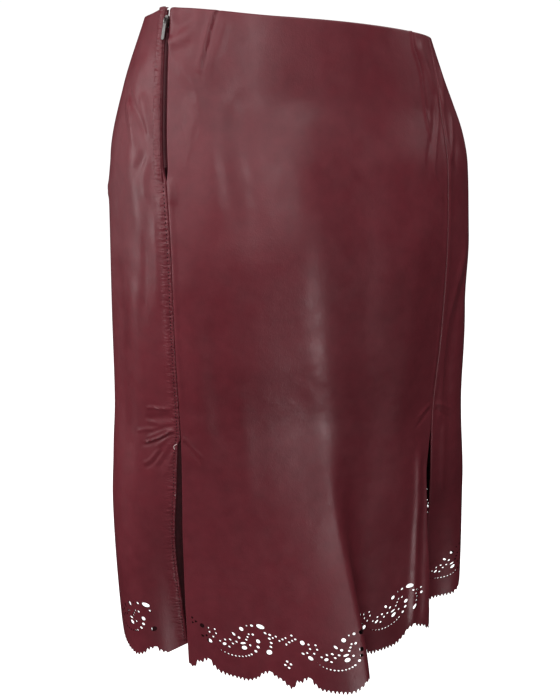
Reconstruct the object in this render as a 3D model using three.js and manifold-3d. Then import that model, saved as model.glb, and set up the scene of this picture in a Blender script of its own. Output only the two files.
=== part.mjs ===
// A knee-length leather skirt in the shape it has when worn, with a scalloped cutwork hem.
// A narrow back panel and a wide front panel meet at two back seams, and each seam ends in a slit.
// A zip closes the top of the left back seam, and a strip lies behind the left slit. The waist and
// the hem are open.
// Millimetres, +Z up. The origin is the middle of the waist opening. The front faces -Y and the
// wearer's left is +X. An angle is measured at the body's axis, 0 at the back and growing to the left.
import * as THREE from 'three';
import Module from 'manifold-3d';
import { mergeVertices } from 'three/addons/utils/BufferGeometryUtils.js';

const wasm = await Module();
wasm.setup();

// Driving dimensions
const skirtLength = 600;
const wall = 1.2;
const seamGap = 0.3;
const slitTop = 365;
const zipLength = 132;
const zipHalfGap = 2.6;
const sectionPower = 2.08;
const waistRise = { back: 10, left: 12 };
const hemDip = { back: 30, left: 6 };

// One row for each level: how far down, half the width, the depths behind and in front of the
// axis, and the angle of the two back seams in degrees
const sections = [
  { down: 0, halfWidth: 135, back: 100, front: 100, seam: 61.5 },
  { down: 60, halfWidth: 158.5, back: 105, front: 111, seam: 53 },
  { down: 120, halfWidth: 174, back: 123, front: 118, seam: 48.7 },
  { down: 190, halfWidth: 178, back: 132, front: 121, seam: 47 },
  { down: 270, halfWidth: 181.5, back: 124, front: 120, seam: 45.7 },
  { down: 360, halfWidth: 184.5, back: 110, front: 118, seam: 43.8 },
  { down: 470, halfWidth: 193, back: 108, front: 116, seam: 42.3 },
  { down: 600, halfWidth: 191, back: 126, front: 112, seam: 41.6 },
];

// One row for each large fold. Its middle runs from the share of the panel's width at "top" to
// that at "hem", it grows from nothing at "from" to its height at "full", and "before" and
// "after" are its widths on either side. It leans towards the angle in "aim".
const folds = [
  { panel: 'back', top: 0.5, hem: 0.54, from: 330, full: 600, height: 54, before: 84, after: 22, aim: -30 },
  { panel: 'back', top: 1, hem: 1, from: 380, full: 600, height: 8, before: 22, after: 30, aim: 10 },
  { panel: 'front', top: 0.055, hem: 0.05, from: 150, full: 330, height: 7, before: 18, after: 34, aim: -58 },
  { panel: 'front', top: 0, hem: 0, from: 380, full: 600, height: 38, before: 36, after: 52, aim: -163 },
  { panel: 'front', top: 0.07, hem: 0.07, from: 400, full: 600, height: 7, before: 45, after: 60, aim: -95 },
  { panel: 'front', top: 0.925, hem: 0.925, from: 330, full: 600, height: 18, before: 50, after: 34, aim: 55 },
  { panel: 'front', top: 1, hem: 1, from: 380, full: 600, height: 12, before: 24, after: 24, aim: -165 },
];

// How far each panel's edge stands back from the seam line, down the left and the right seam. Below
// the left slit's top the back panel reaches past it.
const closed = seamGap / 2;
const leftEdges = [
  { down: 0, back: zipHalfGap, front: zipHalfGap },
  { down: zipLength - 12, back: zipHalfGap, front: zipHalfGap },
  { down: zipLength, back: closed, front: closed },
  { down: slitTop, back: closed, front: closed },
  { down: 420, back: 0, front: 5 },
  { down: 485, back: -2, front: 8 },
  { down: 540, back: -5, front: 6 },
  { down: skirtLength, back: -7, front: 3.5 },
];
const rightEdges = [
  { down: 0, back: closed, front: closed },
  { down: slitTop, back: closed, front: closed },
  { down: 425, back: 6, front: 0.5 },
  { down: 485, back: 7, front: 0.5 },
  { down: 550, back: 2.5, front: 0.5 },
  { down: skirtLength, back: 1, front: 0.5 },
];

// The panels: the flat width of each at the hem, the flat place of its first wide scallop, and
// its columns, which crowd together about one place
const panels = {
  back: { hemWidth: 316, firstScallop: 18, columns: 32, crowding: 0.05, crowdedAt: 0.6 },
  front: { hemWidth: 743, firstScallop: -4, columns: 56, crowding: 0.06, crowdedAt: 0 },
};
const panelRows = [0, 14, 40, 66, 93, 120, 132, 170, 215, 260, 310, 365, 405, 445, 485, 525, 560, 585];
const hemCover = 3;
const levelSteps = 200;
const normalStep = { share: 0.004, down: 1 };

// The hem's scallops and the larger holes of its cutwork. A hole's place is measured from the
// start of its wide scallop and up from the scallops' tips, and its turn is in degrees.
const wideScallop = 66;
const narrowScallop = 41;
const scallopDepth = 13.5;
const cutwork = [
  { along: 2, up: 33, long: 5.6, wide: 4, turn: -25 },
  { along: 18, up: 33, long: 4.6, wide: 3, turn: 25 },
  { along: 29, up: 45, long: 4.6, wide: 2.6, turn: -40 },
  { along: 38, up: 51.5, long: 4.8, wide: 4.2, turn: 0 },
  { along: 38.5, up: 37.4, long: 6.2, wide: 2.4, turn: 15 },
  { along: 39.5, up: 33, long: 6.2, wide: 4.2, turn: 18 },
  { along: 55, up: 42, long: 4.6, wide: 4.2, turn: 0 },
  { along: 59, up: 57, long: 8.8, wide: 4.6, turn: -6 },
  { along: 66, up: 33, long: 6.6, wide: 4.8, turn: 28 },
  { along: 102, up: 47, long: 4.8, wide: 4.6, turn: 0 },
];

// The scallops' edges: how much of the depth the edge has dropped at each share of the length
const wideEdge = [
  { at: 0, drop: 0 },
  { at: 0.05, drop: 0.35 },
  { at: 0.16, drop: 0.82 },
  { at: 0.35, drop: 0.93 },
  { at: 0.6, drop: 1 },
  { at: 0.7, drop: 0.88 },
  { at: 0.8, drop: 0.6 },
  { at: 0.88, drop: 0.2 },
];
const narrowEdge = [
  { at: 0, drop: 0 },
  { at: 0.1, drop: 0.25 },
  { at: 0.31, drop: 0.5 },
  { at: 0.44, drop: 0.9 },
  { at: 0.56, drop: 1 },
  { at: 0.69, drop: 0.33 },
  { at: 0.77, drop: 0.46 },
  { at: 0.86, drop: 0.18 },
];
const scallops = [
  { length: wideScallop, edge: wideEdge },
  { length: narrowScallop, edge: narrowEdge },
];
const largeHole = 7;
const holeMargin = 7;
const holeSides = { large: 8, small: 6 };
const cutterPast = { hole: 2.5, hem: 3, sides: 6 };

const colours = {
  leather: { color: 0x5a252c, roughness: 0.48, metalness: 0 },
  tape: { color: 0x2e1216, roughness: 0.9, metalness: 0 },
  teeth: { color: 0x3a181d, roughness: 0.6, metalness: 0 },
  steel: { color: 0xb9b7b4, roughness: 0.25, metalness: 1 },
};

const radians = (degrees) => THREE.MathUtils.degToRad(degrees);

// A smooth curve through the values of one column of a table, with no overshoot
function column(rows, key, down) {
  const last = rows.length - 1;
  const clamped = THREE.MathUtils.clamp(down, rows[0].down, rows[last].down);
  let i = 0;
  while (i < last - 1 && clamped > rows[i + 1].down) i += 1;
  const step = (j) => rows[j + 1].down - rows[j].down;
  const rise = (j) => (rows[j + 1][key] - rows[j][key]) / step(j);
  const tangent = (j) => {
    if (j === 0) return rise(0);
    if (j === last) return rise(last - 1);
    const before = rise(j - 1);
    const after = rise(j);
    if (before * after <= 0) return 0;
    const heavy = 2 * step(j) + step(j - 1);
    const light = step(j) + 2 * step(j - 1);
    return (heavy + light) / (heavy / before + light / after);
  };
  const h = step(i);
  const t = (clamped - rows[i].down) / h;
  const start = rows[i][key] * (1 + 2 * t) * (1 - t) ** 2 + h * tangent(i) * t * (1 - t) ** 2;
  const end = rows[i + 1][key] * t * t * (3 - 2 * t) + h * tangent(i + 1) * t * t * (t - 1);
  return start + end;
}

function ease(share) {
  const t = THREE.MathUtils.clamp(share, 0, 1);
  return t * t * (3 - 2 * t);
}

// A point of the skirt's outside before its folds
function bodyPoint(angle, down) {
  const sine = Math.sin(angle);
  const cosine = Math.cos(angle);
  const depth = column(sections, cosine > 0 ? 'back' : 'front', down);
  const round = (value) => Math.sign(value) * Math.abs(value) ** (2 / sectionPower);
  const share = down / skirtLength;
  const rise = (1 - share) * (waistRise.back * cosine + waistRise.left * sine);
  const dip = share * (hemDip.back * cosine + hemDip.left * sine);
  return new THREE.Vector3(
    column(sections, 'halfWidth', down) * round(sine),
    depth * round(cosine),
    rise - down - dip,
  );
}

// The angles of a panel's two edges. Both panels run from left to right as seen from outside.
function panelEnds(panel, down) {
  const seam = radians(column(sections, 'seam', down));
  return panel === 'back' ? [seam, -seam] : [-seam, seam - 2 * Math.PI];
}

// How far the folds push a point that lies at a share of the panel's plain width
function foldShift(panel, share, down, plainWidth) {
  const shift = new THREE.Vector3();
  for (const fold of folds.filter((row) => row.panel === panel)) {
    const descent = THREE.MathUtils.clamp((down - fold.from) / (skirtLength - fold.from), 0, 1.1);
    const middle = fold.top + (fold.hem - fold.top) * descent;
    const across = (share - middle) * plainWidth;
    const reach = across / (across < 0 ? fold.before : fold.after);
    const push = fold.height * ease((down - fold.from) / (fold.full - fold.from)) * Math.exp(-reach * reach);
    const aim = radians(fold.aim);
    shift.add(new THREE.Vector3(Math.sin(aim), Math.cos(aim), 0).multiplyScalar(push));
  }
  return shift;
}

// A level of a panel: a chain of points along its outside and their distances along the cloth
const levels = new Map();
function level(panel, down) {
  const key = `${panel} ${down.toFixed(4)}`;
  if (levels.has(key)) return levels.get(key);
  const [start, end] = panelEnds(panel, down);
  const plain = [];
  for (let i = 0; i <= levelSteps; i += 1) {
    plain.push(bodyPoint(start + ((end - start) * i) / levelSteps, down));
  }
  const plainRun = distances(plain);
  const plainWidth = plainRun[levelSteps];
  const points = plain.map((point, i) => {
    return point.clone().add(foldShift(panel, plainRun[i] / plainWidth, down, plainWidth));
  });
  const row = { points, run: distances(points) };
  levels.set(key, row);
  return row;
}

function distances(points) {
  const run = [0];
  for (let i = 1; i < points.length; i += 1) {
    run.push(run[i - 1] + Math.hypot(points[i].x - points[i - 1].x, points[i].y - points[i - 1].y));
  }
  return run;
}

// A point of a panel's outside, by its share of the panel's width. Past an edge it goes straight on.
function outside(panel, share, down) {
  const { points, run } = level(panel, down);
  const target = share * run[levelSteps];
  let i = 0;
  while (i < levelSteps - 1 && run[i + 1] < target) i += 1;
  const t = (target - run[i]) / (run[i + 1] - run[i]);
  return points[i].clone().lerp(points[i + 1], t);
}

// The same point moved out along the cloth's normal
function panelPoint(panel, share, down, out) {
  const point = outside(panel, share, down);
  const { share: shareStep, down: downStep } = normalStep;
  const along = outside(panel, share + shareStep, down).sub(outside(panel, share - shareStep, down));
  const descent = outside(panel, share, down + downStep).sub(outside(panel, share, down - downStep));
  return point.addScaledVector(descent.cross(along).normalize(), out);
}

// A closed body from its corners and faces, with its faces turned outwards
function solid(corners, faces) {
  let volume = 0;
  for (const [a, b, c] of faces) {
    volume += corners[a].dot(corners[b].clone().cross(corners[c]));
  }
  const index = volume > 0 ? faces.flat() : faces.flatMap(([a, b, c]) => [a, c, b]);
  const geometry = new THREE.BufferGeometry();
  geometry.setAttribute('position', new THREE.Float32BufferAttribute(corners.flatMap((p) => p.toArray()), 3));
  geometry.setIndex(index);
  return geometry;
}

// A sheet with a thickness: place(i, j, side) gives its points, on side 0 and on side 1
function sheet(columns, rows, place) {
  const corners = [];
  const faces = [];
  const stride = rows + 1;
  const layer = (columns + 1) * stride;
  for (let side = 0; side < 2; side += 1) {
    for (let i = 0; i <= columns; i += 1) {
      for (let j = 0; j <= rows; j += 1) corners.push(place(i, j, side));
    }
  }
  const quad = (a, b, c, d) => faces.push([a, b, c], [a, c, d]);
  for (let i = 0; i < columns; i += 1) {
    for (let j = 0; j < rows; j += 1) {
      const a = i * stride + j;
      quad(a, a + 1, a + 1 + stride, a + stride);
      quad(layer + a, layer + a + stride, layer + a + 1 + stride, layer + a + 1);
    }
  }
  for (let i = 0; i < columns; i += 1) {
    const top = i * stride;
    const bottom = top + rows;
    quad(top, top + stride, layer + top + stride, layer + top);
    quad(bottom, layer + bottom, layer + bottom + stride, bottom + stride);
  }
  for (let j = 0; j < rows; j += 1) {
    const end = columns * stride + j;
    quad(j, layer + j, layer + j + 1, j + 1);
    quad(end, end + 1, layer + end + 1, layer + end);
  }
  return solid(corners, faces);
}

function toManifold(geometry) {
  const plain = geometry.clone();
  plain.deleteAttribute('normal');
  plain.deleteAttribute('uv');
  const merged = mergeVertices(plain, 1e-4);
  return new wasm.Manifold(new wasm.Mesh({
    numProp: 3,
    vertProperties: new Float32Array(merged.attributes.position.array),
    triVerts: new Uint32Array(merged.index.array),
  }));
}

function toGeometry(manifold) {
  const mesh = manifold.getMesh();
  const geometry = new THREE.BufferGeometry();
  geometry.setAttribute('position', new THREE.BufferAttribute(mesh.vertProperties, 3));
  geometry.setIndex(new THREE.BufferAttribute(mesh.triVerts, 1));
  return geometry;
}

// How far down the scalloped edge lies at a flat place along the hem
function hemEdge(along, firstScallop) {
  const repeat = wideScallop + narrowScallop;
  const place = THREE.MathUtils.euclideanModulo(along - firstScallop, repeat);
  const inWide = place < wideScallop;
  const { length, edge } = scallops[inWide ? 0 : 1];
  const share = (inWide ? place : place - wideScallop) / length;
  const rows = [...edge, { at: 1, drop: 0 }];
  const i = rows.findLastIndex((row) => row.at <= share);
  const step = (share - rows[i].at) / (rows[i + 1].at - rows[i].at);
  return skirtLength - scallopDepth * (1 - THREE.MathUtils.lerp(rows[i].drop, rows[i + 1].drop, step));
}

// The flat places of the hem's corners
function hemPlaces(width, firstScallop) {
  const { sides } = cutterPast;
  const places = [-sides];
  const repeat = wideScallop + narrowScallop;
  const first = Math.floor(-firstScallop / repeat) - 1;
  for (let n = first; firstScallop + n * repeat < width; n += 1) {
    let start = firstScallop + n * repeat;
    for (const { length, edge } of scallops) {
      places.push(...edge.map((row) => start + row.at * length));
      start += length;
    }
  }
  places.push(width + sides);
  return places.filter((place) => place >= -sides && place <= width + sides);
}

// What is cut away below the scallops
function hemCutter(panel) {
  const { hemWidth, firstScallop } = panels[panel];
  const places = hemPlaces(hemWidth, firstScallop);
  return sheet(places.length - 1, 1, (i, j, side) => {
    const down = j === 0 ? hemEdge(places[i], firstScallop) : skirtLength + 3 * hemCover;
    const out = side === 0 ? cutterPast.hem : -wall - cutterPast.hem;
    return panelPoint(panel, places[i] / hemWidth, down, out);
  });
}

// One hole's cutter: an oval of flat points, carried to both sides of the wall
function holeCutter(panel, start, hole) {
  const { hemWidth } = panels[panel];
  const sides = hole.long > largeHole ? holeSides.large : holeSides.small;
  const turn = radians(hole.turn);
  const corners = [];
  for (const out of [cutterPast.hole, -wall - cutterPast.hole]) {
    for (let i = 0; i < sides; i += 1) {
      const angle = (2 * Math.PI * i) / sides;
      const x = (hole.long / 2) * Math.cos(angle);
      const y = (hole.wide / 2) * Math.sin(angle);
      const along = start + hole.along + x * Math.cos(turn) - y * Math.sin(turn);
      const up = hole.up + x * Math.sin(turn) + y * Math.cos(turn);
      corners.push(panelPoint(panel, along / hemWidth, skirtLength - up, out));
    }
  }
  const faces = [];
  for (let i = 0; i < sides; i += 1) {
    const next = (i + 1) % sides;
    faces.push([i, next, sides + next], [i, sides + next, sides + i]);
    if (i > 0 && i < sides - 1) {
      faces.push([0, i + 1, i], [sides, sides + i, sides + i + 1]);
    }
  }
  return solid(corners, faces);
}

function cutworkCutters(panel) {
  const { hemWidth, firstScallop } = panels[panel];
  const repeat = wideScallop + narrowScallop;
  const cutters = [];
  for (let start = firstScallop - repeat; start < hemWidth; start += repeat) {
    for (const hole of cutwork) {
      const place = start + hole.along;
      if (place > holeMargin && place < hemWidth - holeMargin) {
        cutters.push(toManifold(holeCutter(panel, start, hole)));
      }
    }
  }
  return cutters;
}

// The columns of a panel stand closer about the place where its folds are tight
function columnShare(panel, i) {
  const { columns, crowding, crowdedAt } = panels[panel];
  const wave = (t) => crowding * Math.sin(2 * Math.PI * (t - crowdedAt));
  return i / columns - wave(i / columns) + wave(0);
}

function panelGeometry(panel) {
  const { columns, hemWidth } = panels[panel];
  const rows = [...panelRows, skirtLength + hemCover];
  const [startEdges, endEdges] = panel === 'back' ? [leftEdges, rightEdges] : [rightEdges, leftEdges];
  const slab = sheet(columns, rows.length - 1, (i, j, side) => {
    const down = rows[j];
    const { run } = level(panel, down);
    const start = column(startEdges, panel, down) / run[levelSteps];
    const end = 1 - column(endEdges, panel, down) / run[levelSteps];
    const share = start + (end - start) * columnShare(panel, i);
    return panelPoint(panel, share, down, side === 0 ? 0 : -wall);
  });
  const cutters = [toManifold(hemCutter(panel)), ...cutworkCutters(panel)];
  return toGeometry(toManifold(slab).subtract(wasm.Manifold.union(cutters)));
}

// The strip behind the left slit: from the front panel's inside, past the seam to the back panel's
const underlay = { top: 343, bottom: 583, from: -40, to: 18, columns: 14, gap: 0.6 };
const underlayBlend = { from: -2, to: 10 };

function underlayPoint(across, down, depth) {
  const frontRun = level('front', down).run[levelSteps];
  const backRun = level('back', down).run[levelSteps];
  const behindFront = panelPoint('front', 1 + across / frontRun, down, -wall - underlay.gap - depth);
  const behindBack = panelPoint('back', across / backRun, down, -wall - underlay.gap - depth);
  const share = (across - underlayBlend.from) / (underlayBlend.to - underlayBlend.from);
  return behindFront.lerp(behindBack, ease(share));
}

function underlayGeometry() {
  const { top, bottom, from, to, columns } = underlay;
  const rows = [top, ...panelRows.filter((down) => down > top && down < bottom), bottom];
  return sheet(columns, rows.length - 1, (i, j, side) => {
    return underlayPoint(from + ((to - from) * i) / columns, rows[j], side === 0 ? 0 : wall);
  });
}

// A point beside the zip: across the seam towards the back panel, down it, and out from the cloth
const angleStep = 0.002;
function zipPoint(across, down, out) {
  const seam = radians(column(sections, 'seam', down));
  const arc = bodyPoint(seam - angleStep, down).distanceTo(bodyPoint(seam + angleStep, down));
  const angle = seam - (across * 2 * angleStep) / arc;
  const along = bodyPoint(angle - angleStep, down).sub(bodyPoint(angle + angleStep, down));
  const descent = bodyPoint(angle, down + 1).sub(bodyPoint(angle, down - 1));
  return bodyPoint(angle, down).addScaledVector(descent.cross(along).normalize(), out);
}

// A flat strip that follows the zip, bent at the same levels as the panels beside it
function zipStrip({ from, to, top, bottom, outer, inner }) {
  const rows = panelRows.filter((down) => down >= top && down <= bottom);
  const columns = 4;
  return sheet(columns, rows.length - 1, (i, j, side) => {
    const across = from + ((to - from) * i) / columns;
    return zipPoint(across, rows[j], side === 0 ? outer : inner);
  });
}

const tapeGap = 0.5;
const tapeOuter = -wall - tapeGap;
const tapeDepth = 0.8;
const tapeHalf = 9;
const chainOuter = 0.1;
const chainHalf = 1.7;
const chainTop = 14;
const chainBottom = 120;
const lapWidth = 8;
const lapDepth = 1;

const lapStart = -zipHalfGap - seamGap;
const zipLap = zipStrip({
  from: lapStart - lapWidth,
  to: lapStart,
  top: 0,
  bottom: zipLength,
  outer: seamGap + lapDepth,
  inner: seamGap,
});
const zipTape = zipStrip({
  from: -tapeHalf,
  to: tapeHalf,
  top: 0,
  bottom: zipLength,
  outer: tapeOuter,
  inner: tapeOuter - tapeDepth,
});
const zipChain = zipStrip({
  from: -chainHalf,
  to: chainHalf,
  top: chainTop,
  bottom: chainBottom,
  outer: chainOuter,
  inner: tapeOuter + seamGap,
});

// The slider and its pull tab stand in a frame on the zip: X across it, Y up it and Z out of it
const sliderDown = 7;
const sliderWidth = 4.4;
const sliderLength = 10;
const sliderTop = 2.2;
const sliderNose = 0.7;
const sliderShoulder = 0.2;
const archWidth = 1.2;
const archHalf = 3;
const archWindow = 1.6;
const archThickness = 0.9;
const postSink = 0.2;
const pivotUp = 1.4;
const pivotOut = sliderTop + archWindow / 2;
const pullLength = 18;
const pullWidth = 3.6;
const pullThickness = 0.8;
const pullSlot = { width: 1.8, length: 5.4 };
const pullEye = { width: 1.6, length: 4.4, fromEnd: 4 };

function box(width, length, low, high, up = 0) {
  return new THREE.BoxGeometry(width, length, high - low).translate(0, up, (low + high) / 2);
}

function sliderGeometry() {
  const outline = new THREE.Shape();
  const half = sliderWidth / 2;
  const shoulder = sliderLength / 2;
  const shoulderUp = shoulder * sliderShoulder;
  outline.moveTo(-half * sliderNose, -shoulder);
  outline.lineTo(half * sliderNose, -shoulder);
  outline.lineTo(half, shoulderUp);
  outline.quadraticCurveTo(half, shoulder, 0, shoulder);
  outline.quadraticCurveTo(-half, shoulder, -half, shoulderUp);
  outline.closePath();
  const low = tapeOuter + seamGap;
  const depth = sliderTop - low;
  const body = new THREE.ExtrudeGeometry(outline, { depth, bevelEnabled: false, curveSegments: 6 });
  body.translate(0, 0, low);
  const archTop = sliderTop + archWindow + archThickness;
  const bar = box(archWidth, 2 * archHalf, sliderTop + archWindow, archTop);
  const post = (up) => box(archWidth, archThickness, sliderTop - postSink, archTop, up);
  const endUp = archHalf - archThickness / 2;
  return toGeometry(wasm.Manifold.union([body, bar, post(endUp), post(-endUp)].map(toManifold)));
}

// The tab's origin is its pivot, inside the slider's arch, and it hangs along -Y
function pullGeometry() {
  const half = pullThickness / 2;
  const plate = box(pullWidth, pullLength, -half, half, half - pullLength / 2);
  const slotLength = pullSlot.length - half;
  const through = pullThickness;
  const slot = box(pullSlot.width, slotLength, -through, through, -half - slotLength / 2);
  const eye = box(pullEye.width, pullEye.length, -through, through, pullEye.fromEnd - pullLength);
  return toGeometry(toManifold(plate).subtract(toManifold(slot)).subtract(toManifold(eye)));
}

function mesh(name, geometry, finish) {
  geometry.computeVertexNormals();
  const piece = new THREE.Mesh(geometry, new THREE.MeshStandardMaterial(finish));
  piece.name = name;
  return piece;
}

const skirt = new THREE.Group();
skirt.add(mesh('back_panel', panelGeometry('back'), colours.leather));
skirt.add(mesh('front_panel', panelGeometry('front'), colours.leather));
skirt.add(mesh('slit_underlay', underlayGeometry(), colours.leather));
skirt.add(mesh('zip_lap', zipLap, colours.leather));
skirt.add(mesh('zip_tape', zipTape, colours.tape));
skirt.add(mesh('zip_chain', zipChain, colours.teeth));

const zipFrame = new THREE.Group();
const frameOrigin = zipPoint(0, sliderDown, 0);
const frameAcross = zipPoint(1, sliderDown, 0).sub(zipPoint(-1, sliderDown, 0)).normalize();
const frameOut = zipPoint(0, sliderDown, 1).sub(frameOrigin).normalize();
const frameUp = frameOut.clone().cross(frameAcross).normalize();
zipFrame.applyMatrix4(new THREE.Matrix4().makeBasis(frameAcross, frameUp, frameOut).setPosition(frameOrigin));
zipFrame.add(mesh('zip_slider', sliderGeometry(), colours.steel));
const pull = mesh('zip_pull', pullGeometry(), colours.steel);
pull.position.set(0, pivotUp, pivotOut);
zipFrame.add(pull);
skirt.add(zipFrame);

export default skirt;
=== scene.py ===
"""A burgundy leather skirt in its worn shape, seen from behind, with a cutwork hem and a zip.

Lengths are in millimetres until a mesh is made, and angles in the tables are in degrees.
A place on a panel is given by how far across it lies from the panel's left edge, as seen from
outside, and how far down from the waist edge. Angles round the body are 0 at the centre back and
grow towards the wearer's left, +X.
"""
import math

import bpy
import numpy as np
from mathutils import Matrix, Vector
from mathutils.geometry import delaunay_2d_cdt


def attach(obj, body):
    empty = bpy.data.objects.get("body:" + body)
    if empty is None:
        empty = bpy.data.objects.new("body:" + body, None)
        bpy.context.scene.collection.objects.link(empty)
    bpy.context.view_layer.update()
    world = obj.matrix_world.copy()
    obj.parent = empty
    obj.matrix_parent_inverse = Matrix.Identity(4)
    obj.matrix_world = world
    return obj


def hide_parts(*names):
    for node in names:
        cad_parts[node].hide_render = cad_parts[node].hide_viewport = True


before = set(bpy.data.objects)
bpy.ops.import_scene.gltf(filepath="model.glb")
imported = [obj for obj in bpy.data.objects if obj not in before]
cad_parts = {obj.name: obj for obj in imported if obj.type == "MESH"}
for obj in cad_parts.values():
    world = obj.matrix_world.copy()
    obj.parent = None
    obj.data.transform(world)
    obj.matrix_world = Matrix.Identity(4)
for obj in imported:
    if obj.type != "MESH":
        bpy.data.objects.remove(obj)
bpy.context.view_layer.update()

MM = 0.001
SEED = 7


def table(keys, rows):
    return [dict(zip(keys, row)) for row in rows]


# The skirt's form: the driving dimensions, sections and large folds of the frame
SKIRT_LENGTH = 600
WALL = 1.2
CLOSED = 0.15
SLIT_TOP = 365
ZIP_LENGTH = 132
ZIP_HALF_GAP = 2.6
SECTION_POWER = 2.08
WAIST_RISE = {"back": 10, "left": 12}
HEM_DIP = {"back": 30, "left": 6}
SECTIONS = table(("down", "half_width", "back", "front", "seam"), [
    (0, 135, 100, 100, 61.5),
    (60, 158.5, 105, 111, 53),
    (120, 174, 123, 118, 48.7),
    (190, 178, 132, 121, 47),
    (270, 181.5, 124, 120, 45.7),
    (360, 184.5, 110, 118, 43.8),
    (470, 193, 108, 116, 42.3),
    (600, 191, 126, 112, 41.6),
])
FOLDS = table(("panel", "top", "hem", "start", "full", "height", "before", "after", "aim"), [
    ("back", 0.5, 0.54, 330, 600, 54, 84, 22, -30),
    ("back", 1, 1, 380, 600, 8, 22, 30, 10),
    ("front", 0.055, 0.05, 150, 330, 7, 18, 34, -58),
    ("front", 0, 0, 380, 600, 38, 36, 52, -163),
    ("front", 0.07, 0.07, 400, 600, 7, 45, 60, -95),
    ("front", 0.925, 0.925, 330, 600, 18, 50, 34, 55),
    ("front", 1, 1, 380, 600, 12, 24, 24, -165),
])

# How far each panel's edge stands back from the seam line, down the left and the right seam. Low
# down on both slits the back panel reaches past it.
EDGE_KEYS = ("down", "back", "front")
LEFT_EDGES = table(EDGE_KEYS, [
    (0, ZIP_HALF_GAP, ZIP_HALF_GAP),
    (ZIP_LENGTH - 12, ZIP_HALF_GAP, ZIP_HALF_GAP),
    (ZIP_LENGTH, CLOSED, CLOSED),
    (SLIT_TOP, CLOSED, CLOSED),
    (371, 0, 3),
    (420, 0, 5),
    (485, -2, 8),
    (540, -5, 6),
    (SKIRT_LENGTH, -7, 3.5),
])
RIGHT_EDGES = table(EDGE_KEYS, [
    (0, CLOSED, CLOSED),
    (SLIT_TOP, CLOSED, CLOSED),
    (425, 5.5, 0.5),
    (485, 2, 0.5),
    (550, -3, 0.5),
    (SKIRT_LENGTH, -3.5, 0.5),
])
EDGES = {"back": (LEFT_EDGES, RIGHT_EDGES), "front": (RIGHT_EDGES, LEFT_EDGES)}
HEM_WIDTH = {"back": 316, "front": 743}
FIRST_SCALLOP = {"back": 18, "front": -4}

# The hem: its scallops, its small teeth and the larger holes of its cutwork. A profile's points are
# a share of the scallop's length, and how much of its depth it has dropped there. A hole's place
# runs from the start of its wide scallop and up from the scallops' tips.
WIDE_SCALLOP = 66
NARROW_SCALLOP = 41
REPEAT = WIDE_SCALLOP + NARROW_SCALLOP
SCALLOP_DEPTH = 13.5
WIDE_EDGE = [
    (0, 0), (0.05, 0.35), (0.16, 0.82), (0.35, 0.93), (0.6, 1), (0.7, 0.88), (0.8, 0.6), (0.88, 0.2), (1, 0),
]
NARROW_EDGE = [
    (0, 0), (0.1, 0.25), (0.31, 0.5), (0.44, 0.9), (0.56, 1), (0.69, 0.33),
    (0.77, 0.46), (0.86, 0.18), (1, 0),
]
LARGE_HOLES = [  # (along, up, long, wide, turn)
    (2, 33, 5.6, 4, -25), (18, 33, 4.6, 3, 25), (29, 45, 4.6, 2.6, -40), (38, 51.5, 4.8, 4.2, 0),
    (38.5, 37.4, 6.2, 2.4, 15), (39.5, 33, 6.2, 4.2, 18), (55, 42, 4.6, 4.2, 0),
    (59, 57, 8.8, 4.6, -6), (66, 33, 6.6, 4.8, 28), (102, 47, 4.8, 4.6, 0),
]
HOLE_BRIDGE = 0.6
HOLE_MARGIN = {"large": 7, "small": 4}
TOOTH_PITCH = 4.2
TOOTH_JITTER = 0.22
TOOTH_SCALE = (0.6, 1.1)
SCALLOP_GAP = 3
END_GAP = 0.8
TOOTH_OUTLINE = [  # the share of a tooth's pitch, and how far it reaches below the scallop
    (0, -1.5), (0.14, -1.45), (0.24, -0.6), (0.3, 0.5), (0.38, 1.2), (0.5, 1.5), (0.62, 1.25), (0.71, 0.5),
    (0.77, -0.6), (0.87, -1.45),
]

# The mesh of the panels
GRID_END = 520
EDGE_OFFSETS = [0, 0.35, 0.8, 1.4, 2.1, 2.9, 3.8, 5, 6.6, 8.6, 11]
TOP_ROWS = [0, 0.4, 0.9, 1.5, 2.3, 3.4, 5]
ROW_STEP = 5
FINE_ROWS = [(5, 150, 3.1), (325, 405, 1.4)]
COLUMN_ZONES = {  # where each zone of columns ends, as a share of the panel, and its steps
    "back": [(0.2, 40), (0.82, 62), (1, 32)],
    "front": [(0.075, 24), (0.23, 22), (0.285, 14), (0.72, 54), (0.775, 14), (0.91, 19), (1, 42)],
}
BAND_STEP = 3.2
BAND_ROW_STEP = BAND_STEP * 0.87
CLEAR_OF_HOLES = 0.9
CLEAR_OF_HEM = 2.2
CLEAR_OF_SIDES = (5.2, 5)
EDGE_ROLL = 1.5
TOP_ROLL = 1.3


def column(rows, key, down):
    """A smooth curve through the values of one column of a table, with no overshoot."""
    place = np.array([row["down"] for row in rows], float)
    value = np.array([row[key] for row in rows], float)
    step = np.diff(place)
    rise = np.diff(value) / step
    before, after = rise[:-1], rise[1:]
    heavy = 2 * step[1:] + step[:-1]
    light = step[1:] + 2 * step[:-1]
    with np.errstate(divide="ignore", invalid="ignore"):
        middle = (heavy + light) / (heavy / before + light / after)
    inner = np.where(before * after > 0, middle, 0)
    tangent = np.concatenate([rise[:1], inner, rise[-1:]])
    down = np.clip(down, place[0], place[-1])
    i = np.clip(np.searchsorted(place, down, side="right") - 1, 0, len(step) - 1)
    t = (down - place[i]) / step[i]
    start = value[i] * (1 + 2 * t) * (1 - t) ** 2 + step[i] * tangent[i] * t * (1 - t) ** 2
    end = value[i + 1] * t * t * (3 - 2 * t) + step[i] * tangent[i + 1] * t * t * (t - 1)
    return start + end


def ease(share):
    t = np.clip(share, 0, 1)
    return t * t * (3 - 2 * t)


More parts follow.
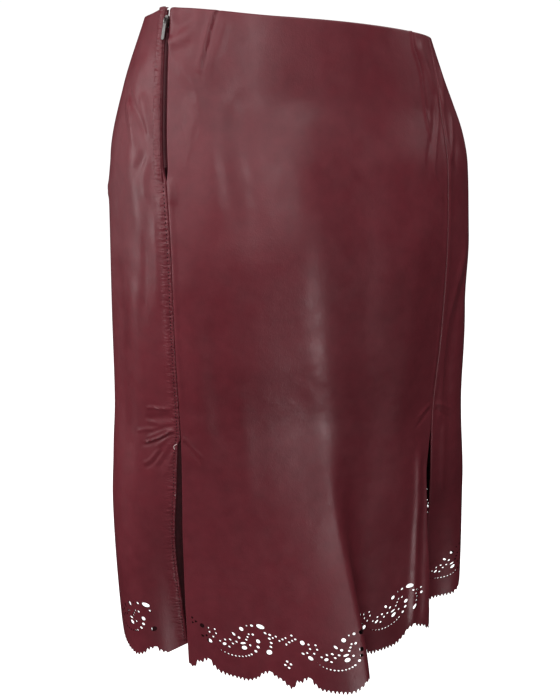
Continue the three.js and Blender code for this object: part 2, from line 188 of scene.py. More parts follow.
def body_point(angle, down):
    """A point of the skirt's outside before its folds."""
    sine, cosine = np.sin(angle), np.cos(angle)
    depth = np.where(cosine > 0, column(SECTIONS, "back", down), column(SECTIONS, "front", down))
    across = np.sign(sine) * np.abs(sine) ** (2 / SECTION_POWER)
    behind = np.sign(cosine) * np.abs(cosine) ** (2 / SECTION_POWER)
    share = down / SKIRT_LENGTH
    rise = (1 - share) * (WAIST_RISE["back"] * cosine + WAIST_RISE["left"] * sine)
    dip = share * (HEM_DIP["back"] * cosine + HEM_DIP["left"] * sine)
    half_width = column(SECTIONS, "half_width", down)
    return np.stack([half_width * across, depth * behind, rise - down - dip], -1)


def panel_ends(panel, down):
    seam = np.radians(column(SECTIONS, "seam", down))
    return (seam, -seam) if panel == "back" else (-seam, seam - 2 * math.pi)


def fold_shift(panel, share, down, plain_width):
    """How far the folds push a point that lies at a share of the panel's plain width."""
    shift = np.zeros(np.shape(share) + (3,))
    for fold in (row for row in FOLDS if row["panel"] == panel):
        descent = np.clip((down - fold["start"]) / (SKIRT_LENGTH - fold["start"]), 0, 1.1)
        middle = fold["top"] + (fold["hem"] - fold["top"]) * descent
        across = (share - middle) * plain_width
        reach = across / np.where(across < 0, fold["before"], fold["after"])
        grown = ease((down - fold["start"]) / (fold["full"] - fold["start"]))
        push = fold["height"] * grown * np.exp(-reach * reach)
        aim = math.radians(fold["aim"])
        shift += push[..., None] * np.array([math.sin(aim), math.cos(aim), 0])
    return shift


LEVEL_STEP = 2.0
LEVELS = np.arange(0, SKIRT_LENGTH + 8, LEVEL_STEP)
PLAIN_STEPS = 400
SHARE_STEPS = 1200


def run_along(points):
    lengths = np.hypot(np.diff(points[:, 0]), np.diff(points[:, 1]))
    return np.concatenate([[0], np.cumsum(lengths)])


def panel_levels(panel):
    """For each level, how even steps along the folded cloth lie on the plain form."""
    steps = np.linspace(0, 1, PLAIN_STEPS + 1)
    shares = np.linspace(0, 1, SHARE_STEPS + 1)
    levels = {"step": [], "plain": [], "plain_width": [], "width": []}
    for level in LEVELS:
        start, end = panel_ends(panel, level)
        down = np.full(len(steps), level)
        plain = body_point(start + (end - start) * steps, down)
        plain_run = run_along(plain)
        plain_share = plain_run / plain_run[-1]
        run = run_along(plain + fold_shift(panel, plain_share, down, plain_run[-1]))
        levels["step"].append(np.interp(shares * run[-1], run, steps))
        levels["plain"].append(np.interp(shares * run[-1], run, plain_share))
        levels["plain_width"].append(plain_run[-1])
        levels["width"].append(run[-1])
    return {key: np.array(rows) for key, rows in levels.items()}


PANEL_LEVELS = {panel: panel_levels(panel) for panel in HEM_WIDTH}


def width_at(panel, down):
    return np.interp(down, LEVELS, PANEL_LEVELS[panel]["width"])


def between_levels(grid, share, down):
    """A value of a level table between its entries."""
    row = np.clip(np.asarray(down) / LEVEL_STEP, 0, len(LEVELS) - 1.001)
    place = np.clip(share, 0, 1) * SHARE_STEPS
    i, j = row.astype(int), np.minimum(place.astype(int), SHARE_STEPS - 1)
    s, t = row - i, place - j
    upper = grid[i, j] * (1 - t) + grid[i, j + 1] * t
    lower = grid[i + 1, j] * (1 - t) + grid[i + 1, j + 1] * t
    return upper * (1 - s) + lower * s


def surface_inside(panel, share, down):
    """Points of a panel's outside, by shares of its folded width and distances down."""
    levels = PANEL_LEVELS[panel]
    step = between_levels(levels["step"], share, down)
    plain = between_levels(levels["plain"], share, down)
    start, end = panel_ends(panel, down)
    plain_width = np.interp(down, LEVELS, levels["plain_width"])
    base = body_point(start + (end - start) * step, down)
    return base + fold_shift(panel, plain, down, plain_width)


def surface(panel, share, down):
    """The same past the panel's edges too, where it goes straight on."""
    share, down = np.broadcast_arrays(np.asarray(share, float), np.asarray(down, float))
    inside = np.clip(share, 0, 1)
    points = surface_inside(panel, inside, down)
    past = share != inside
    if past.any():
        near = np.where(inside[past] < 0.5, 0.002, 0.998)
        step = surface_inside(panel, near, down[past]) - points[past]
        points[past] += step * ((share[past] - inside[past]) / (near - inside[past]))[:, None]
    return points


def surface_normal(panel, share, down):
    reach = 0.003
    ahead = surface(panel, share + reach, down)
    behind = surface(panel, share - reach, down)
    descent = surface(panel, share, down + 1) - surface(panel, share, np.maximum(down - 1, 0))
    normal = np.cross(descent, ahead - behind)
    return normal / np.linalg.norm(normal, axis=-1, keepdims=True)


# Creases and soft swells, by panel and by the edge that their places are measured
# from. A row is the height out from the cloth, the spread to each side, how far in from each end
# of the path it grows to that height, and the path's (across, down) points.
BACK_LEFT = [
    # the left back dart, a sharp line with a lighter ridge beside it and a dimple at its end
    (-1.5, 1, (0, 8), [(51.4, 0), (48.4, 4), (44.7, 15), (41.3, 27), (38, 36), (35.7, 45)]),
    (1.2, 3, (0, 12), [(47.6, 0), (45, 5), (41.2, 16), (37.8, 28), (34.4, 38), (32.2, 45)]),
    (0.8, 5, (6, 14), [(60, 4), (53, 20), (46.5, 36), (43, 48)]),
    (-1.2, 3, (2, 2), [(35.4, 46), (33.6, 51)]),
    # bulges beside the zip, and the small folds that run from them
    (2.4, 4.6, (0, 4), [(6.6, 3), (6.4, 10)]),
    (1.9, 3.8, (2, 3), [(5.4, 21), (4.8, 28)]),
    (1.2, 3.4, (3, 10), [(6, 25), (17, 21), (31, 15)]),
    (-1.3, 3.4, (3, 10), [(9, 16), (20, 11), (31, 6)]),
    (-1.2, 3, (3, 10), [(6, 32), (18, 29), (31, 24)]),
    (1.6, 4.2, (3, 10), [(5, 128), (6, 140), (5, 152)]),
    # the crinkled highlight and the swells across the back
    (1.7, 6, (12, 10), [(10, 36), (18, 44), (27, 53), (32.4, 62), (32.4, 76)]),
    (1.5, 9, (10, 30), [(31, 60), (30, 76), (26, 94), (22, 116)]),
    (0.5, 1.6, (3, 5), [(26, 48), (30, 56), (31.6, 64)]),
    (-0.5, 1.5, (4, 5), [(27.4, 66), (31, 73), (33.4, 79)]),
    (0.4, 1.7, (4, 5), [(19, 70), (23, 78), (22, 88)]),
    (-0.4, 1.6, (4, 5), [(34, 84), (31, 92), (27, 98)]),
    (-0.35, 1.5, (4, 6), [(15, 84), (20, 92), (23, 102)]),
    (0.35, 1.6, (4, 6), [(28, 100), (23, 108), (20, 118)]),
    (2.2, 17, (20, 40), [(44, 56), (46, 92), (48, 130), (52, 176)]),
    (-2.2, 14, (20, 60), [(66, 54), (70, 100), (75, 150), (82, 214)]),
    (3, 22, (30, 70), [(118, 56), (126, 150), (136, 270), (154, 399), (162, 474)]),
    (-2.2, 22, (40, 70), [(172, 70), (178, 170), (184, 280), (196, 390), (206, 470)]),
    (1.3, 12, (30, 40), [(12, 190), (16, 250), (22, 320), (26, 380)]),
    (-1.4, 12, (20, 40), [(36, 240), (40, 310), (44, 390)]),
    (0.7, 9, (20, 40), [(60, 300), (64, 370), (72, 440)]),
    # beside the seams below the zip
    (0.8, 2.6, (6, 30), [(3.6, 136), (3.4, 200), (3.4, 340)]),
    # the small folds at the top of the left slit: a line across, and a fan that runs down from it
    (0.8, 1.4, (2, 10), [(3, 361), (9, 367), (17.5, 375), (24, 382)]),
    (-0.7, 1.5, (2, 10), [(3, 366), (9, 372), (16, 380), (22, 388)]),
]
BACK_RIGHT = [
    # the right back dart, a thin ridge that runs into the seam and on beside it
    (1.3, 1.6, (0, 12),
     [(36.2, 0), (36.4, 12), (32.4, 22), (28.7, 33), (27.3, 48),
      (26.5, 63), (26.1, 75), (24.7, 87), (19.6, 96)]),
    (-1.4, 1.5, (0, 12), [(33.4, 0), (33.6, 12), (29.6, 22), (26, 33), (24.4, 48), (23.4, 63), (22.6, 76)]),
    (1.5, 4.6, (4, 12), [(26.1, 9), (20.4, 21), (15.7, 33), (9.4, 48), (7.3, 56)]),
    (0.9, 1.8, (6, 14),
     [(7.3, 51), (6.4, 63), (8, 75), (15.8, 93), (20.9, 108),
      (23.2, 117), (19.1, 129), (11.9, 141), (9.4, 152)]),
    (-0.9, 3, (10, 14), [(14, 60), (15, 78), (25, 96), (31, 112), (28, 130)]),
    # the crinkled highlight and the swells across the back
    (1.6, 15, (30, 50), [(48, 150), (46, 230), (44, 310), (42, 380)]),
    # down the back's right slit edge
    (2, 4.2, (30, 20), [(18.6, 385), (18.4, 420), (17.9, 474), (18.6, 540), (21.2, 596)]),
    (-1.6, 4.4, (30, 20), [(10.4, 392), (9.8, 430), (9.4, 480), (9.4, 540), (11, 590)]),
    # beside the seams below the zip
    (0.7, 2.6, (20, 20), [(3.6, 30), (3.4, 180), (3.4, 350)]),
    # the same kind of small folds at the top of the right slit
    (0.9, 1.6, (3, 10), [(3.4, 350), (12, 354), (24, 362)]),
    (-0.9, 1.7, (3, 10), [(3.4, 356), (12, 362), (26, 372)]),
]
FRONT_LEFT = [
    # beside the seams below the zip
    (0.7, 2.6, (20, 20), [(3.8, 30), (3.6, 180), (3.6, 350)]),
    # the ridges right of the right seam, with a flatter place beyond them, on the swell of the hip
    (4, 30, (60, 70), [(52, 30), (56, 110), (58, 180), (54, 260)]),
    (1.5, 4.6, (10, 16), [(16, 24), (14.4, 36), (7, 57), (5, 74)]),
    (1.6, 3.4, (12, 16), [(22, 66), (17, 82), (8.5, 104), (7, 118)]),
    (-1.3, 4, (12, 20), [(24, 90), (17, 108), (15, 130)]),
    (2, 3.6, (20, 30), [(42, 190), (32, 212), (20, 237), (9.4, 270), (8.5, 306), (11, 351), (12, 390)]),
    (-1.9, 6, (20, 30), [(50, 215), (34, 245), (22, 280), (20, 320), (24, 370)]),
    (1.5, 4, (30, 40), [(17, 330), (18, 375), (17.2, 423), (16, 480)]),
    # the same kind of small folds at the top of the right slit
    (1, 1.8, (3, 10), [(3.4, 352), (14, 357), (30, 368)]),
    (-0.9, 1.8, (3, 10), [(3.4, 358), (14, 366), (28, 380)]),
    # the front: two darts, their ends, and soft swells over the hips and thighs
    (-1.4, 1.4, (0, 12), [(165, 0), (168, 30), (172, 62), (176, 92)]),
    (1.2, 5, (0, 18), [(172, 0), (175, 30), (179, 62), (183, 92)]),
    (2.6, 24, (30, 60), [(140, 110), (146, 220), (150, 340), (148, 450)]),
    (-2, 22, (30, 60), [(196, 140), (200, 260), (198, 400)]),
    (2.5, 26, (40, 60), [(262, 90), (258, 210), (262, 350), (270, 470)]),
    (1.1, 4, (10, 20), [(96, 150), (118, 168), (146, 178)]),
    (-0.9, 3.6, (10, 20), [(100, 160), (122, 178), (150, 188)]),
]
FRONT_RIGHT = [
    # beside the seams below the zip
    (0.7, 2.4, (6, 30), [(7.4, 142), (7, 200), (7, 340)]),
    # the folds beside the lap, fanned out from the hip
    (-1.5, 2.6, (6, 14), [(47.1, 60), (38.7, 70), (31, 79), (24.7, 88), (17, 100)]),
    (1.4, 4.2, (8, 16), [(52, 68), (43, 80), (36.5, 94), (33, 110)]),
    (1.4, 4, (8, 10), [(27, 62), (21, 76), (16.6, 88), (14, 100)]),
    (0.9, 3.6, (6, 14), [(16, 112), (21, 122), (24, 136), (21, 152)]),
    (-1.1, 4, (8, 16), [(18, 108), (30, 122), (44, 136)]),
    (1.5, 11, (16, 40), [(34, 30), (36, 90), (36, 140), (30, 200)]),
    (1.2, 5.5, (16, 30), [(13.4, 150), (15, 200), (15, 250)]),
    (-1, 6, (16, 30), [(28, 170), (30, 210), (34, 262)]),
    # the small folds at the top of the left slit: a line across, and a fan that runs down from it
    (1, 1.2, (3, 5), [(5, 333), (11.5, 336), (20.6, 338), (29.1, 339), (37.5, 342)]),
    (-1.3, 4.2, (3, 6), [(6, 343), (16, 346), (28, 350), (37, 353)]),
    (1.6, 1.2, (2, 8), [(5, 357), (9.2, 358), (16.2, 363), (22, 367), (30.9, 372), (41.1, 378)]),
    (-1, 1.4, (2, 8), [(5, 360), (10, 361.6), (17, 366), (24, 370.4), (33, 375.6), (44, 381)]),
    (0.7, 1.1, (3, 8), [(12, 356), (20, 360.6), (28, 366), (40, 373)]),
    (-0.8, 1.3, (3, 8), [(5, 352.6), (12, 354), (19, 358), (28, 362.6), (38, 368)]),
    (0.8, 1.1, (3, 5), [(26, 353), (33, 354), (39, 355)]),
    (-0.7, 1.2, (3, 5), [(22, 356), (30, 358), (36, 360.6)]),
    (0.8, 1.2, (4, 6), [(30, 360), (40, 364), (50, 369)]),
    (0.7, 1.2, (4, 8), [(10, 363), (16, 368), (22, 374), (30, 381)]),
    (1, 1.3, (4, 8), [(22, 378), (28, 386), (33.7, 393), (42.5, 399)]),
    (-0.7, 1.4, (4, 8), [(18, 378), (24, 386), (30, 395), (40, 403)]),
    (0.7, 1.2, (4, 10), [(9, 368), (14, 376), (22, 388), (30, 400)]),
    (-0.6, 1.3, (4, 10), [(6, 370), (11, 379), (18, 390), (25, 402)]),
    (0.6, 1.2, (4, 10), [(5, 372), (9, 384), (14, 396), (20, 408)]),
    # down the wearer's left hip
    (1.6, 13, (30, 50), [(46, 210), (44, 300), (48, 390), (54, 450)]),
    (-1.6, 13, (30, 50), [(74, 200), (72, 300), (76, 400)]),
    (1.7, 16, (30, 50), [(104, 120), (100, 220), (98, 340), (100, 440)]),
    # the front: two darts, their ends, and soft swells over the hips and thighs
    (-1.4, 1.4, (0, 12), [(160, 0), (163, 30), (167, 62), (171, 90)]),
    (1.2, 5, (0, 18), [(167, 0), (170, 30), (174, 62), (178, 90)]),
    (-2.1, 26, (30, 60), [(312, 200), (316, 320), (318, 440)]),
    (2.7, 28, (40, 60), [(236, 100), (242, 220), (250, 350), (246, 470)]),
    (-1.8, 20, (30, 60), [(176, 160), (178, 290), (170, 420)]),
    (1.1, 4, (10, 20), [(92, 140), (116, 160), (142, 168)]),
]
CREASES = {
    "back": {"left": BACK_LEFT, "right": BACK_RIGHT},
    "front": {"left": FRONT_LEFT, "right": FRONT_RIGHT},
}


def smooth_path(points, pieces=6):
    """A rounded line through given points."""
    points = np.array(points, float)
    padded = np.vstack([2 * points[0] - points[1], points, 2 * points[-1] - points[-2]])
    line = []
    for before, start, end, after in zip(padded, padded[1:], padded[2:], padded[3:]):
        for t in np.arange(pieces) / pieces:
            line.append(0.5 * (2 * start + (end - before) * t
                               + (2 * before - 5 * start + 4 * end - after) * t * t
                               + (3 * start - before - 3 * end + after) * t ** 3))
    return np.vstack([line, points[-1]])


def crease_height(crease, place):
    """How far one crease lifts the cloth at each place."""
    height, spread, (head, tail), path = crease
    line = smooth_path(path)
    lengths = np.linalg.norm(np.diff(line, axis=0), axis=1)
    run = np.concatenate([[0], np.cumsum(lengths)])
    reach = 3 * spread
    near = np.all((place > line.min(0) - reach) & (place < line.max(0) + reach), axis=-1)
    lift = np.zeros(len(place))
    spot = place[near]
    nearest = np.full(len(spot), np.inf)
    along = np.zeros(len(spot))
    for start, end, begun, length in zip(line, line[1:], run, lengths):
        t = np.clip((spot - start) @ (end - start) / length ** 2, 0, 1)
        distance = np.linalg.norm(spot - start - t[:, None] * (end - start), axis=1)
        closer = distance < nearest
        nearest = np.where(closer, distance, nearest)
        along = np.where(closer, begun + t * length, along)
    grown = np.ones(len(spot))
    if head:
        grown *= ease(along / head)
    if tail:
        grown *= ease((run[-1] - along) / tail)
    lift[near] = height * grown * np.exp(-(nearest / spread) ** 2)
    return lift


def edge_places(panel, down):
    """How far across a panel its two edges lie."""
    left, right = EDGES[panel]
    return column(left, panel, down), width_at(panel, down) - column(right, panel, down)


def rolled(distance, radius):
    """How far a turned edge has sunk at a distance in from it."""
    inward = np.clip(distance, 0, radius)
    return radius - np.sqrt(np.maximum(radius ** 2 - (radius - inward) ** 2, 0))


def crease_lift(panel, across, down, width):
    lift = np.zeros(len(across))
    for side, creases in CREASES[panel].items():
        place = np.stack([across if side == "left" else width - across, down], -1)
        for crease in creases:
            lift += crease_height(crease, place)
    return lift


STITCH_INSET = 3
STITCH_GROOVE = {"depth": 0.35, "width": 0.9, "from": 6}
WAIST_LIFT = {"back": 4.2, "front": 5}
LIFT_REACH = {"back": 100, "front": 20, "down": 45}
CORNER_DROP = 2.2
CORNER_REACH = 4


def waist_lift(panel, beside, down):
    """Beside the zip the waist edge stands up a little, and the back's corner is rounded off."""
    reach = beside / LIFT_REACH[panel]
    if panel == "back":
        rise = WAIST_LIFT[panel] * (1 - ease(reach)) - CORNER_DROP * np.exp(-(beside / CORNER_REACH) ** 2)
    else:
        rise = WAIST_LIFT[panel] * np.exp(-reach ** 2)
    return rise * (1 - ease(down / LIFT_REACH["down"]))


def cloth_points(panel, share, down):
    """Points of a panel's outside with its creases, its turned edges and the stitches' groove."""
    width = width_at(panel, down)
    across = share * width
    lift = crease_lift(panel, across, down, width)
    left, right = edge_places(panel, down)
    beside = np.minimum(across - left, right - across)
    lift -= rolled(beside, EDGE_ROLL) + rolled(down, TOP_ROLL)
    stitched = (down > STITCH_GROOVE["from"]) & (panel == "front") & (share > 0.5)
    groove = np.exp(-((beside - STITCH_INSET) / STITCH_GROOVE["width"]) ** 2)
    lift -= STITCH_GROOVE["depth"] * groove * stitched
    points = surface(panel, share, down) + lift[:, None] * surface_normal(panel, share, down)
    points[:, 2] += waist_lift(panel, across if panel == "back" else width - across, down)
    return points


def hem_edge(along, panel):
    """How far down the scalloped edge lies at a flat place along the hem."""
    place = np.mod(along - FIRST_SCALLOP[panel], REPEAT)
    wide = np.interp(place / WIDE_SCALLOP, *zip(*WIDE_EDGE))
    narrow = np.interp((place - WIDE_SCALLOP) / NARROW_SCALLOP, *zip(*NARROW_EDGE))
    return SKIRT_LENGTH - SCALLOP_DEPTH * (1 - np.where(place < WIDE_SCALLOP, wide, narrow))


def hem_outline(panel, start, end, rng):
    """The flat points of the scalloped edge with its small teeth, from one side to the other."""
    points = [(start, float(hem_edge(start, panel)))]
    first = math.floor((start - FIRST_SCALLOP[panel]) / REPEAT) - 1
    scallops = []
    for n in range(first, first + 12):
        begin = FIRST_SCALLOP[panel] + n * REPEAT
        scallops += [(begin, WIDE_SCALLOP), (begin + WIDE_SCALLOP, NARROW_SCALLOP)]
    for begin, length in scallops:
        count = round((length - SCALLOP_GAP) / TOOTH_PITCH)
        pitch = (length - SCALLOP_GAP) / count
        for n in range(count):
            jitter = rng.uniform(-TOOTH_JITTER, TOOTH_JITTER)
            scale = rng.uniform(*TOOTH_SCALE)
            for share, reach in TOOTH_OUTLINE:
                along = begin + SCALLOP_GAP / 2 + (n + share) * pitch + jitter
                if start + END_GAP < along < end - END_GAP:
                    points.append((along, float(hem_edge(along, panel)) + reach * scale))
    points.append((end, float(hem_edge(end, panel))))
    return points


def oval(along, up, long, wide, turn, sides):
    """The flat outline of a hole as (along, down) points."""
    angle = np.arange(sides) * 2 * math.pi / sides
    x, y = long / 2 * np.cos(angle), wide / 2 * np.sin(angle)
    c, s = math.cos(math.radians(turn)), math.sin(math.radians(turn))
    return np.stack([along + x * c - y * s, SKIRT_LENGTH - (up + x * s + y * c)], -1)


def small_holes():
    """One repeat's small holes as (along, up, long, wide, turn): a scroll, a sprig and dots."""
    holes = []
    for n in range(17):
        t = n / 16
        turn = math.radians(-6 - 137 * t)
        reach = 1 + 0.1 * t * t
        size = 3.5 - 2.3 * t + 0.35 * math.sin(11 * t)
        x, y = 30 + 25.2 * reach * math.cos(turn), 40.5 + 17 * reach * math.sin(turn)
        holes.append((x, y, size, size * 0.85, 0))
    for n in range(3):
        holes.append((53 - 3.1 * n, 46 + 1.9 * n, 3.5 - 0.5 * n, 2.6 - 0.2 * n, 20))
        holes.append((45.5 - 1.6 * n, 47.5 - 3 * n, 2.2 + 0.3 * n, 2.1, 0))
    holes += [(44, 55.6, 1.8, 1.7, 0), (49.6, 56.6, 3.2, 2.6, 0), (63.4, 51.4, 3.4, 2.2, -25)]
    for row, shift in enumerate((0, 1.1, -2.3)):
        holes += [(1.3 + shift + 7.2 * k, 46 - 4.1 * row, 2.3, 2.2, 0) for k in range(2)]
    for n in range(4):
        up = 34.4 + 3.6 * math.sin(n * 0.75)
        holes.append((13.4 + 5.6 * n, up + 0.6, 2.4 + 0.35 * n, 2.1, -25))
        holes.append((23 + 4.2 * n, up - 3.4 + 1.5 * n, 3, 2.1, -18))
    holes += [(34.6, 42.3, 3.2, 2.7, 0), (46, 36.6, 2.6, 2.5, 0)]
    holes += [(68.2 - 1.2 * (n % 2) + 0.4 * n, 50.4 - 3.9 * n, 3.1, 2.4, -20 * (n % 2)) for n in range(4)]
    holes += [(71.2 + 3.4 * n, 47.8 + 2.1 * math.sin(2.1 * n), 2.2 + 0.4 * (n % 2), 2.1, 0) for n in range(8)]
    holes += [(75.2, 44.2, 3.4, 2.8, -40), (85, 43.4, 2.6, 2.1, 80)]
    holes += [(91.4, 52.8, 2.6, 2.2, 0), (-5.4, 36.6, 3.4, 2.2, -20)]
    for corner in range(4):
        turn = math.radians(14 + 90 * corner)
        holes.append((84.8 + 3.1 * math.cos(turn), 23.6 + 3.1 * math.sin(turn), 2.9, 2.6, 0))
    return holes


def panel_holes(panel):
    """Every hole of a panel's cutwork as (along, up, long, wide, turn), none too close together."""
    kept = []
    margin = HOLE_MARGIN["large"]
    width = HEM_WIDTH[panel]
    for start in np.arange(FIRST_SCALLOP[panel] - REPEAT, width, REPEAT):
        for along, *shape in LARGE_HOLES:
            if margin < along + start < width - margin:
                kept.append((along + start, *shape))
        for along, up, long, wide, turn in small_holes():
            along += start
            left, right = (float(x) for x in edge_places(panel, SKIRT_LENGTH - up))
            margin_here = HOLE_MARGIN["small"] + long / 2
            size = max(long, wide)
            if left + margin_here < along < right - margin_here and all(
                    math.hypot(along - other[0], up - other[1])
                    > (size + other[2] * 0.5 + other[3] * 0.5) / 2 + HOLE_BRIDGE for other in kept):
                kept.append((along, up, long, wide, turn))
    return kept


def grid_rows():
    rows = list(TOP_ROWS)
    while rows[-1] < GRID_END - ROW_STEP / 2:
        steps = [step for start, end, step in FINE_ROWS if start <= rows[-1] <= end]
        rows.append(rows[-1] + (steps + [ROW_STEP])[0])
    rows[-1] = GRID_END
    return np.array(rows)


def grid_shares(panel, down):
    """The columns of one row: close together at both edges, and in zones between them."""
    middle = [0.0]
    for end, count in COLUMN_ZONES[panel]:
        middle += list(np.linspace(middle[-1], end, count + 1)[1:])
    offsets, inner = np.array(EDGE_OFFSETS[:-1]), EDGE_OFFSETS[-1]
    left, right = (float(x) for x in edge_places(panel, down))
    between = left + inner + (right - left - 2 * inner) * np.array(middle)
    return np.concatenate([left + offsets, between, right - offsets[::-1]]) / float(width_at(panel, down))


def grid_faces(rows, columns):
    """The faces of a grid whose points are listed row by row."""
    index = np.arange(rows * columns).reshape(rows, columns)
    quads = np.stack([index[:-1, :-1], index[1:, :-1], index[1:, 1:], index[:-1, 1:]], -1)
    return [tuple(int(i) for i in quad) for quad in quads.reshape(-1, 4)]


def add_loop(points, edges, loop):
    """Adds a closed outline to a flat drawing, and returns the number of its first point."""
    first = len(points)
    points += [tuple(map(float, p)) for p in loop]
    edges += [(first + i, first + (i + 1) % len(loop)) for i in range(len(loop))]
    return first


def band_layout(panel, top_along, rng):
    """The flat points, border and holes of the cutwork band below the grid."""
    width = HEM_WIDTH[panel]
    downs = np.arange(GRID_END + BAND_STEP, SKIRT_LENGTH - SCALLOP_DEPTH, BAND_STEP)
    scale = width / width_at(panel, downs)
    left, right = (edge * scale for edge in edge_places(panel, downs))
    hem_left, hem_right = (float(edge) for edge in edge_places(panel, float(SKIRT_LENGTH)))
    border = [(along, GRID_END) for along in top_along] + list(zip(right, downs))
    border += hem_outline(panel, hem_left, hem_right, rng)[::-1] + list(zip(left, downs))[::-1]
    points, edges, hole_of = [], [], {}
    add_loop(points, edges, border)
    holes = panel_holes(panel)
    for number, hole in enumerate(holes):
        sides = 16 if hole[2] > 5 else 12 if hole[2] > 3 else 8
        first = add_loop(points, edges, oval(*hole, sides))
        hole_of.update({first + i: number for i in range(sides)})
    fill = []
    beside = np.array(EDGE_OFFSETS[1:7])
    for j, down in enumerate(np.arange(GRID_END + BAND_STEP * 0.8, SKIRT_LENGTH, BAND_ROW_STEP)):
        stretch = width / float(width_at(panel, down))
        left, right = (edge * stretch for edge in edge_places(panel, down))
        first, last = left + CLEAR_OF_SIDES[0] + (j % 2) * BAND_STEP / 2, right - CLEAR_OF_SIDES[1]
        row = np.arange(first, last, BAND_STEP)
        row = np.concatenate([left + beside, row, right - beside])
        row = row[down < hem_edge(row, panel) - CLEAR_OF_HEM]
        fill += [(float(a), float(down)) for a in row]
    fill = np.array(fill)
    clear = np.ones(len(fill), bool)
    for along, up, long, wide, turn in holes:
        offset = fill - (along, SKIRT_LENGTH - up)
        c, s = math.cos(math.radians(-turn)), math.sin(math.radians(-turn))
        x = offset[:, 0] * c + offset[:, 1] * s
        y = -offset[:, 0] * s + offset[:, 1] * c
        reach_x, reach_y = long / 2 + CLEAR_OF_HOLES, wide / 2 + CLEAR_OF_HOLES
        clear &= (x / reach_x) ** 2 + (y / reach_y) ** 2 > 1
    return points + [tuple(p) for p in fill[clear]], edges, hole_of


def panel_sheet(panel):
    """A panel's outside as shares, distances down and faces: a grid and, below it, the band."""
    rng = np.random.default_rng(SEED + len(panel))
    rows = grid_rows()
    shares = np.array([grid_shares(panel, down) for down in rows])
    count = shares.shape[1]
    width = HEM_WIDTH[panel]
    points, edges, hole_of = band_layout(panel, shares[-1] * width, rng)
    flat, _, triangles, origins, _, _ = delaunay_2d_cdt([Vector(p) for p in points], edges, [], 1, 1e-5)
    loops = [hole_of.get(origin[0], -1) if origin else -1 for origin in origins]
    solid = [t for t in triangles if loops[t[0]] < 0 or len({loops[i] for i in t}) > 1]
    flat = np.array([tuple(p) for p in flat])
    number, extra = [], []
    for i, origin in enumerate(origins):
        top = [o for o in origin if o < count]
        number.append(shares.size - count + top[0] if top else shares.size + len(extra))
        if not top:
            extra.append(i)
    faces = grid_faces(*shares.shape) + [tuple(number[i] for i in t)[::-1] for t in solid]
    downs = np.concatenate([np.repeat(rows, count), flat[extra, 1]])
    return np.concatenate([shares.ravel(), flat[extra, 0] / width]), downs, faces


def face_normals(points, faces):
    """Vertex normals from the faces round each point."""
    normals = np.zeros_like(points)
    for size in (3, 4):
        chosen = np.array([f for f in faces if len(f) == size], int).reshape(-1, size)
        if len(chosen):
            a, b, c = points[chosen[:, 0]], points[chosen[:, 1]], points[chosen[:, 2]]
            facing = np.cross(b - a, c - a) if size == 3 else np.cross(c - a, points[chosen[:, 3]] - b)
            for k in range(size):
                np.add.at(normals, chosen[:, k], facing)
    return normals / np.maximum(np.linalg.norm(normals, axis=1, keepdims=True), 1e-9)


def open_edges(faces):
    """The edges that only one face has, each in that face's direction."""
    seen = {}
    for face in faces:
        for a, b in zip(face, face[1:] + face[:1]):
            seen[(a, b)] = True
    return [(a, b) for a, b in seen if (b, a) not in seen]


def thin_shell(points, faces, outward, thickness):
    """The sheet, a second layer inside it, and rims that close it. Rims and inside come last."""
    normals = face_normals(points, faces)
    agree = np.sign((normals * outward).sum(1).mean())
    if agree < 0:
        faces = [face[::-1] for face in faces]
        normals = -normals
    count = len(points)
    inner = points - normals * thickness
    back = [tuple(i + count for i in face[::-1]) for face in faces]
    rims = [(b, a, a + count, b + count) for a, b in open_edges(faces)]
    return np.vstack([points, inner]), faces, back + rims


def new_mesh(name, points, faces, material, sharp=45):
    """A smooth-shaded object from millimetre points."""
    mesh = bpy.data.meshes.new(name)
    mesh.from_pydata((np.asarray(points) * MM).tolist(), [], [tuple(map(int, f)) for f in faces])
    mesh.validate()
    mesh.materials.append(material)
    mesh.shade_smooth()
    mesh.set_sharp_from_angle(angle=math.radians(sharp))
    piece = bpy.data.objects.new(name, mesh)
    bpy.context.scene.collection.objects.link(piece)
    return piece


def set_seam_mask(piece, values):
    attribute = piece.data.attributes.new("seam_mask", "FLOAT", "POINT")
    attribute.data.foreach_set("value", np.asarray(values, np.float32))


def shell_piece(name, points, faces, outward, thickness, material, inner=None):
    """A thin shell as an object. The inner material, if any, covers its inside and its rims."""
    shell, front_faces, other_faces = thin_shell(points, faces, outward, thickness)
    piece = new_mesh(name, shell, front_faces + other_faces, material)
    if inner:
        piece.data.materials.append(inner)
        material_index = np.zeros(len(piece.data.polygons), np.int32)
        material_index[len(front_faces):] = 1
        piece.data.polygons.foreach_set("material_index", material_index)
    return piece


SEAM_PUCKER = {"start": 3, "fade": 7}


def build_panel(panel, outer, inner):
    shares, downs, faces = panel_sheet(panel)
    outward = surface_normal(panel, shares, downs)
    points = cloth_points(panel, shares, downs)
    piece = shell_piece(panel + "_leather", points, faces, outward, WALL, outer, inner)
    width = width_at(panel, downs)
    left, right = edge_places(panel, downs)
    beside = np.minimum(shares * width - left, right - shares * width)
    reach = np.maximum(beside - SEAM_PUCKER["start"], 0) / SEAM_PUCKER["fade"]
    set_seam_mask(piece, np.tile(np.exp(-reach ** 2) * (shares > 0.5) * (panel == "front"), 2))
    return piece


UNDERLAY = {"top": 343, "bottom": 583, "from": -40, "to": 18, "gap": 0.6}
UNDERLAY_BLEND = (-2, 10)
UNDERLAY_ROWS = 101
UNDERLAY_COLUMNS = 49


